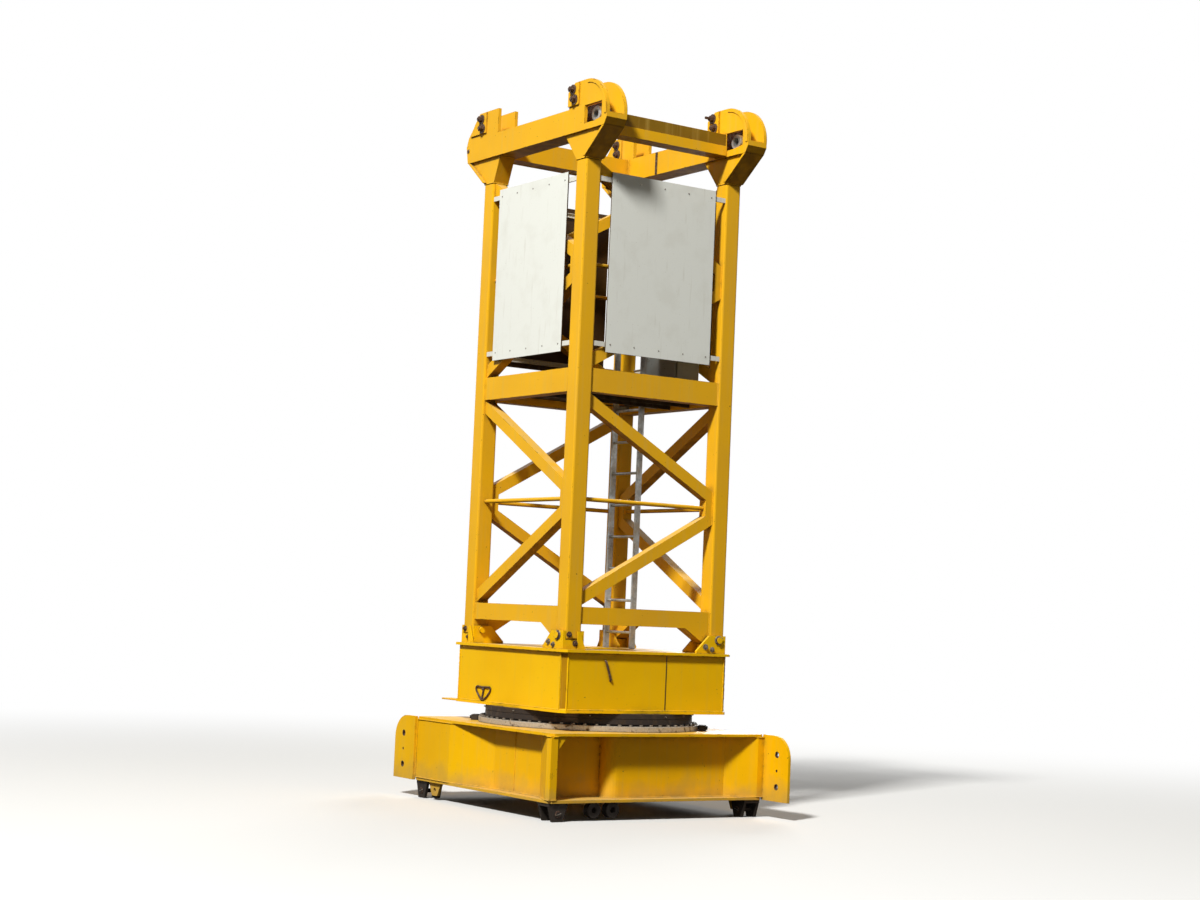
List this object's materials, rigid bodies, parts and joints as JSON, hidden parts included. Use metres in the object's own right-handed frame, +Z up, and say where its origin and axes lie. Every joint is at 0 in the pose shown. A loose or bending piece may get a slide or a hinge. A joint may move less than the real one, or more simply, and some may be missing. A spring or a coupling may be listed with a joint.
{
  "type": "tower crane slewing base section",
  "caption": "Four-legged lattice tower section of a tower crane, pinned on a slewing turntable over a boxed base frame, with forked top girders.",
  "frame": {"origin": "on the ground, on the slewing axis", "axes": "+Z up along the slewing axis; +X along the top girders, towards their domed noses; front is -Y"},
  "size_m": [2.78, 2.18, 5.99],
  "materials": {
    "yellow_paint": "semi-gloss",
    "worn_steel": "worn, greased",
    "dark_steel": "dark, greased and rusty",
    "white_paint": "satin, streaked",
    "galvanised_steel": "dull",
    "grey_enamel": "satin"
  },
  "bodies": {
    "base": {"base_bottom_flange": "yellow_paint", "base_top_flange": "yellow_paint", "base_drum": "yellow_paint", "base_side_front": "yellow_paint", "base_side_right": "yellow_paint", "base_side_back": "yellow_paint", "base_side_left": "yellow_paint", "arm_plate_front_left": "yellow_paint", "arm_plate_back_right": "yellow_paint", "foot_front_right": "dark_steel", "foot_back_right": "dark_steel", "foot_back_left": "dark_steel", "foot_front_left": "dark_steel", "base_lug_front": "yellow_paint", "base_lug_back": "yellow_paint", "slewing_ring_fixed": "worn_steel"},
    "tower": {"slewing_ring_turning": "dark_steel", "turntable_bottom_plate": "yellow_paint", "turntable_walls": "yellow_paint", "turntable_top_plate": "yellow_paint", "leg_shoe_front_right": "yellow_paint", "leg_shoe_back_right": "yellow_paint", "leg_shoe_back_left": "yellow_paint", "leg_shoe_front_left": "yellow_paint", "leg_front_right": "yellow_paint", "leg_back_right": "yellow_paint", "leg_back_left": "yellow_paint", "leg_front_left": "yellow_paint", "bottom_beam_front": "yellow_paint", "bottom_beam_right": "yellow_paint", "bottom_beam_back": "yellow_paint", "bottom_beam_left": "yellow_paint", "lower_brace_front": "yellow_paint", "lower_brace_right": "yellow_paint", "lower_brace_back": "yellow_paint", "lower_brace_left": "yellow_paint", "middle_beam_front": "yellow_paint", "middle_beam_right": "yellow_paint", "middle_beam_back": "yellow_paint", "middle_beam_left": "yellow_paint", "upper_brace_front": "yellow_paint", "upper_brace_right": "yellow_paint", "upper_brace_back": "yellow_paint", "upper_brace_left": "yellow_paint", "top_girder_front": "yellow_paint", "top_girder_back": "yellow_paint", "top_cross_beam_right": "yellow_paint", "top_cross_beam_left": "yellow_paint", "deck": "dark_steel", "ladder": "galvanised_steel", "sign_panel_front": "white_paint", "sign_panel_right": "white_paint", "sign_panel_back": "white_paint", "sign_panel_left": "white_paint", "control_cabinet": "grey_enamel"}
  },
  "joints": [
    {"name": "slew", "type": "hinge", "parent": "base", "child": "tower", "pos_m": [0, 0, 0.759], "axis": [0, 0, 1], "continuous": true}
  ]
}
